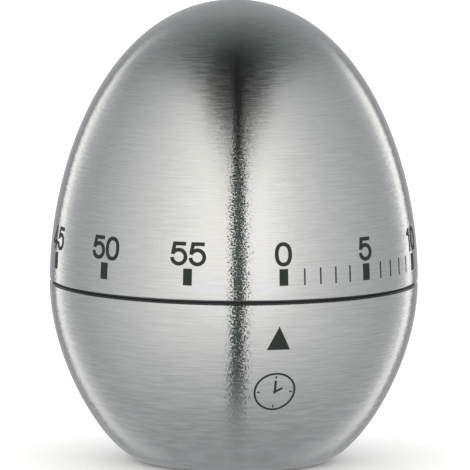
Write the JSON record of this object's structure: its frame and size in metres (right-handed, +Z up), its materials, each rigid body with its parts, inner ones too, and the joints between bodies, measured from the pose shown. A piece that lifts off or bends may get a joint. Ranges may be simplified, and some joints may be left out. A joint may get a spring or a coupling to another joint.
{
  "type": "kitchen timer",
  "caption": "Egg-shaped clockwork kitchen timer: brushed steel upper half turns against the lower half to set minutes, with gear train, escapement and bell inside.",
  "frame": {"origin": "centre of the rubber foot ring, on the surface that the timer stands on", "axes": "+Z up along the timer's axis. -Y is towards someone who looks at the front, with +X to their right. The printed pointer is 14.4 degrees and the zero mark 15.6 degrees round from -Y towards +X."},
  "size_m": [0.06, 0.06, 0.0755],
  "materials": {
    "brushed_shell": "stainless sheet, brushed around the axis",
    "black_moulding": "black ABS, fine moulded texture",
    "foot_rubber": "black rubber, matt",
    "zinc_screw": "bright zinc-plated steel",
    "plate_steel": "nickel-plated steel plate",
    "bell_steel": "nickel-plated steel, polished",
    "arbor_steel": "turned bright steel",
    "wheel_brass": "rolled brass sheet, stamped",
    "spring_steel": "blued spring steel strip",
    "white_acetal": "natural acetal, moulded",
    "screen_ink": "green-black screen ink, the printed scale and pointer"
  },
  "bodies": {
    "base": {"lower_shell": "brushed_shell", "base_liner": "black_moulding", "base_cover": "black_moulding", "foot_ring": "foot_rubber", "base_screws": "zinc_screw", "lower_plate": "plate_steel", "upper_plate": "plate_steel", "frame_pillars": "arbor_steel", "pillar_nuts": "zinc_screw", "movement_screws": "zinc_screw", "bell": "bell_steel", "bell_post": "arbor_steel", "bell_washer": "zinc_screw", "bell_screw": "zinc_screw", "mainspring": "spring_steel", "mainspring_post": "arbor_steel", "strike_spring": "spring_steel", "strike_spring_post": "arbor_steel", "release_post": "arbor_steel", "release_spring": "spring_steel"},
    "dial": {"upper_shell": "brushed_shell", "dial_carrier": "black_moulding", "main_arbor": "arbor_steel", "ratchet_wheel": "plate_steel", "release_cam": "white_acetal", "upper_arbor_clip": "spring_steel", "lower_arbor_clip": "spring_steel"},
    "great_wheel": {"great_wheel": "wheel_brass", "click_rivet": "arbor_steel", "click_spring": "spring_steel"},
    "click": {"click": "plate_steel"},
    "second_wheel": {"second_arbor": "arbor_steel", "second_wheel": "wheel_brass"},
    "third_wheel": {"third_arbor": "arbor_steel", "third_wheel": "wheel_brass"},
    "escape_wheel": {"escape_arbor": "arbor_steel", "escape_wheel": "wheel_brass"},
    "pallet": {"pallet_arbor": "arbor_steel", "pallet_lever": "wheel_brass", "pallet_pins": "arbor_steel"},
    "balance": {"balance_arbor": "arbor_steel", "balance_wheel": "wheel_brass", "balance_roller": "white_acetal"},
    "strike_wheel": {"strike_wheel": "wheel_brass", "slip_washer": "spring_steel"},
    "star": {"star_arbor": "arbor_steel", "star_wheel": "plate_steel"},
    "hammer": {"hammer_arbor": "arbor_steel", "hammer_verge": "plate_steel", "verge_pins": "arbor_steel", "hammer_arm": "plate_steel", "hammer_head": "arbor_steel", "lock_arm": "plate_steel"},
    "release_lever": {"release_lever": "plate_steel"}
  },
  "joints": [
    {"name": "dial_turn", "type": "hinge", "parent": "base", "child": "dial", "pos_m": [0, 0, 0.03], "axis": [0, 0, 1], "range_deg": [-360, 0], "deforming": ["mainspring"]},
    {"name": "great_wheel_turn", "type": "hinge", "parent": "base", "child": "great_wheel", "pos_m": [0, 0, 0.0171], "axis": [0, 0, 1], "range_deg": [-360, 0]},
    {"name": "second_turn", "type": "hinge", "parent": "base", "child": "second_wheel", "pos_m": [0.0136, 0, 0.02], "axis": [0, 0, 1], "range_deg": [0, 2700]},
    {"name": "third_turn", "type": "hinge", "parent": "base", "child": "third_wheel", "pos_m": [0.01025, 0.00921, 0.02], "axis": [0, 0, 1], "range_deg": [-16200, 0]},
    {"name": "escape_turn", "type": "hinge", "parent": "base", "child": "escape_wheel", "pos_m": [0.00297, 0.01341, 0.02], "axis": [0, 0, 1], "range_deg": [0, 97200]},
    {"name": "click_lift", "type": "hinge", "parent": "great_wheel", "child": "click", "pos_m": [0.0043, 0.00745, 0.018], "axis": [0, 0, 1], "range_deg": [-8, 0], "deforming": ["click_spring"]},
    {"name": "balance_swing", "type": "hinge", "parent": "base", "child": "balance", "pos_m": [-0.01003, 0.01287, 0.02], "axis": [0, 0, 1], "range_deg": [-14, 14]},
    {"name": "pallet_rock", "type": "hinge", "parent": "base", "child": "pallet", "pos_m": [-0.00365, 0.01458, 0.02], "axis": [0, 0, 1], "range_deg": [-6.2, 6.2]},
    {"name": "strike_turn", "type": "hinge", "parent": "base", "child": "strike_wheel", "pos_m": [0, 0, 0.0244], "axis": [0, 0, 1], "range_deg": [-60, 0], "deforming": ["strike_spring"]},
    {"name": "star_turn", "type": "hinge", "parent": "base", "child": "star", "pos_m": [-0.00236, -0.01339, 0.02], "axis": [0, 0, 1], "range_deg": [0, 450]},
    {"name": "hammer_swing", "type": "hinge", "parent": "base", "child": "hammer", "pos_m": [-0.00787, -0.0154, 0.02], "axis": [0, 0, 1], "range_deg": [-5, 5]},
    {"name": "release_drop", "type": "hinge", "parent": "base", "child": "release_lever", "pos_m": [-0.0141, -0.00513, 0.0288], "axis": [0, 0, 1], "range_deg": [0, 8], "deforming": ["release_spring"]}
  ],
  "couplings": [
    {"joint": "great_wheel_turn", "follows": "dial_turn", "ratio": 1},
    {"joint": "second_turn", "follows": "dial_turn", "ratio": -7.5},
    {"joint": "third_turn", "follows": "dial_turn", "ratio": 45},
    {"joint": "escape_turn", "follows": "dial_turn", "ratio": -270},
    {"joint": "pallet_rock", "follows": "balance_swing", "ratio": -0.43478},
    {"joint": "star_turn", "follows": "strike_turn", "ratio": -7.5}
  ]
}
